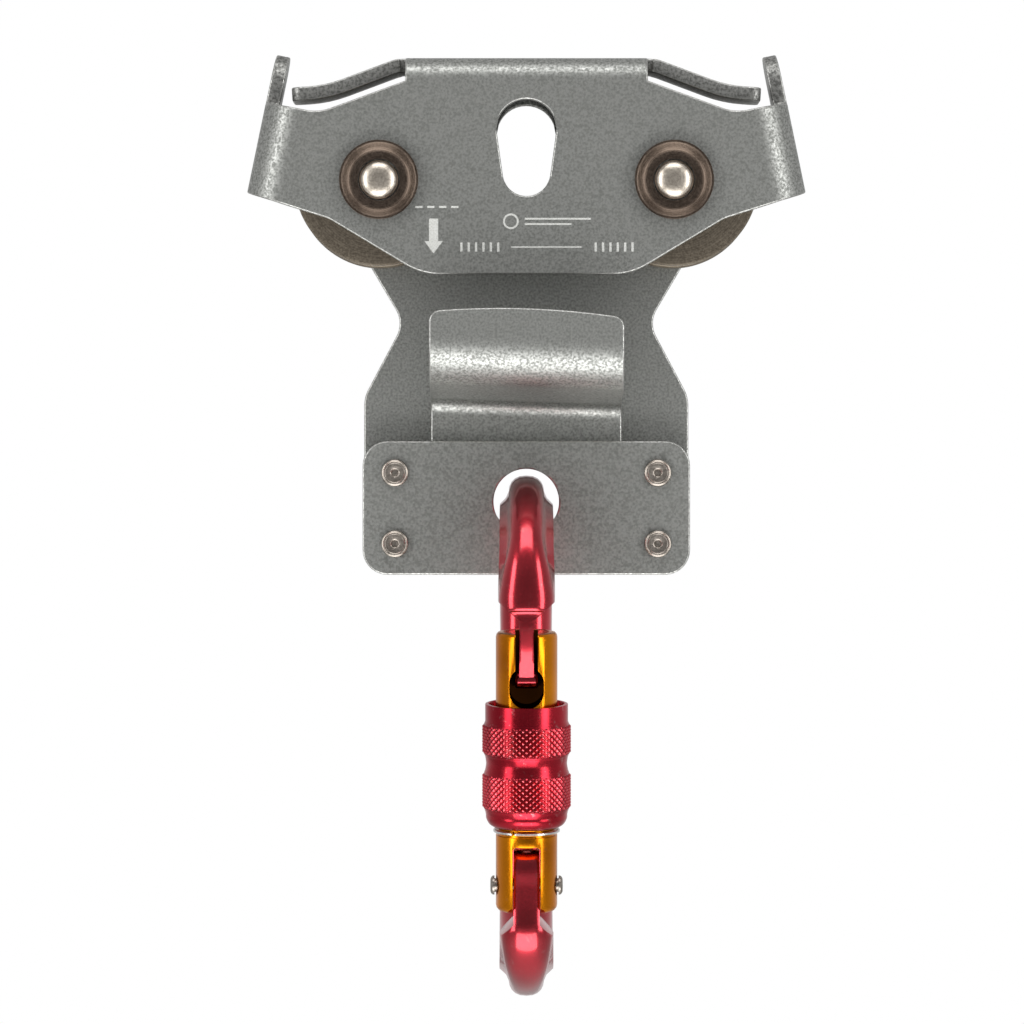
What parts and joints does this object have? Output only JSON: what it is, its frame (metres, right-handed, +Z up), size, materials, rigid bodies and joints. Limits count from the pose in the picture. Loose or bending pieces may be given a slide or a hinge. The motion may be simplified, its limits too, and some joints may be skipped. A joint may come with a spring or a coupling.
{
  "type": "zip line trolley",
  "caption": "Zip line trolley: folded steel saddle with two grooved sheaves, hooked cable keeper and a screw-sleeve carabiner hanging in a riveted plate.",
  "frame": {"origin": "on the axis of the cable, midway between the two sheaves", "axes": "+X along the cable, -Y towards the front (the side with the gate and the keeper's lip), +Z up; the carabiner hangs along -Z"},
  "size_m": [0.122, 0.0741, 0.2066],
  "materials": {
    "tumbled_steel": "tumbled, fine mottled satin",
    "rivet_steel": "polished heads",
    "axle_steel": "polished",
    "bronzed_steel": "brown finish with a bright worn rim",
    "sheave_metal": "turned, brown-grey",
    "bearing_steel": "ground",
    "spring_steel": "bright wire",
    "red_anodised": "bright red anodised",
    "gold_anodised": "bright gold anodised"
  },
  "bodies": {
    "frame": {"saddle_frame": "tumbled_steel", "cable_keeper": "tumbled_steel", "connection_plate": "tumbled_steel", "plate_rivet_upper_left": "rivet_steel", "plate_rivet_upper_right": "rivet_steel", "plate_rivet_lower_left": "rivet_steel", "plate_rivet_lower_right": "rivet_steel", "axle_left": "axle_steel", "axle_right": "axle_steel", "dished_washer_left_front": "bronzed_steel", "dished_washer_left_back": "bronzed_steel", "dished_washer_right_front": "bronzed_steel", "dished_washer_right_back": "bronzed_steel", "side_spacer_left_front": "bearing_steel", "side_spacer_left_back": "bearing_steel", "side_spacer_right_front": "bearing_steel", "side_spacer_right_back": "bearing_steel", "middle_spacer_left": "bearing_steel", "middle_spacer_right": "bearing_steel", "bearing_inner_left_front": "bearing_steel", "bearing_inner_left_back": "bearing_steel", "bearing_inner_right_front": "bearing_steel", "bearing_inner_right_back": "bearing_steel"},
    "sheave_left": {"sheave_left": "sheave_metal", "bearing_outer_left_front": "bearing_steel", "bearing_outer_left_back": "bearing_steel"},
    "sheave_right": {"sheave_right": "sheave_metal", "bearing_outer_right_front": "bearing_steel", "bearing_outer_right_back": "bearing_steel"},
    "balls_left_front": {"bearing_balls_left_front": "bearing_steel"},
    "balls_left_back": {"bearing_balls_left_back": "bearing_steel"},
    "balls_right_front": {"bearing_balls_right_front": "bearing_steel"},
    "balls_right_back": {"bearing_balls_right_back": "bearing_steel"},
    "carabiner": {"carabiner_body": "red_anodised", "gate_hinge_pin": "axle_steel"},
    "gate": {"gate_barrel": "gold_anodised", "sleeve_stop_ring": "spring_steel", "gate_spring": "spring_steel"},
    "sleeve": {"locking_sleeve": "red_anodised"},
    "plunger": {"gate_plunger": "axle_steel"}
  },
  "joints": [
    {"name": "sheave_left_spin", "type": "hinge", "parent": "frame", "child": "sheave_left", "pos_m": [-0.0321, 0, 0.019], "axis": [0, 1, 0], "continuous": true},
    {"name": "balls_left_front_roll", "type": "hinge", "parent": "frame", "child": "balls_left_front", "pos_m": [-0.0321, 0, 0.019], "axis": [0, 1, 0], "continuous": true},
    {"name": "balls_left_back_roll", "type": "hinge", "parent": "frame", "child": "balls_left_back", "pos_m": [-0.0321, 0, 0.019], "axis": [0, 1, 0], "continuous": true},
    {"name": "sheave_right_spin", "type": "hinge", "parent": "frame", "child": "sheave_right", "pos_m": [0.0321, 0, 0.019], "axis": [0, 1, 0], "continuous": true},
    {"name": "balls_right_front_roll", "type": "hinge", "parent": "frame", "child": "balls_right_front", "pos_m": [0.0321, 0, 0.019], "axis": [0, 1, 0], "continuous": true},
    {"name": "balls_right_back_roll", "type": "hinge", "parent": "frame", "child": "balls_right_back", "pos_m": [0.0321, 0, 0.019], "axis": [0, 1, 0], "continuous": true},
    {"name": "carabiner_swing", "type": "hinge", "parent": "frame", "child": "carabiner", "pos_m": [0, 0.0082, -0.0509], "axis": [0, 1, 0], "range_deg": [-40, 40]},
    {"name": "gate_open", "type": "hinge", "parent": "carabiner", "child": "gate", "pos_m": [0, -0.018, -0.134], "axis": [1, 0, 0], "range_deg": [-26, 0], "stiffness_Nm_per_rad": 0.35, "springref_deg": 22.92},
    {"name": "sleeve_travel", "type": "slide", "parent": "gate", "child": "sleeve", "axis": [0, -0.1045, 0.9945], "range_m": [0, 0.0125]},
    {"name": "plunger_travel", "type": "slide", "parent": "gate", "child": "plunger", "axis": [0, -0.1045, 0.9945], "range_m": [0, 0.0012], "deforming": ["gate_spring"]}
  ],
  "couplings": [
    {"joint": "balls_left_front_roll", "follows": "sheave_left_spin", "ratio": 0.6307},
    {"joint": "balls_left_back_roll", "follows": "sheave_left_spin", "ratio": 0.6307},
    {"joint": "balls_right_front_roll", "follows": "sheave_right_spin", "ratio": 0.6307},
    {"joint": "balls_right_back_roll", "follows": "sheave_right_spin", "ratio": 0.6307},
    {"joint": "plunger_travel", "follows": "gate_open", "m_per_rad": -0.002424}
  ]
}
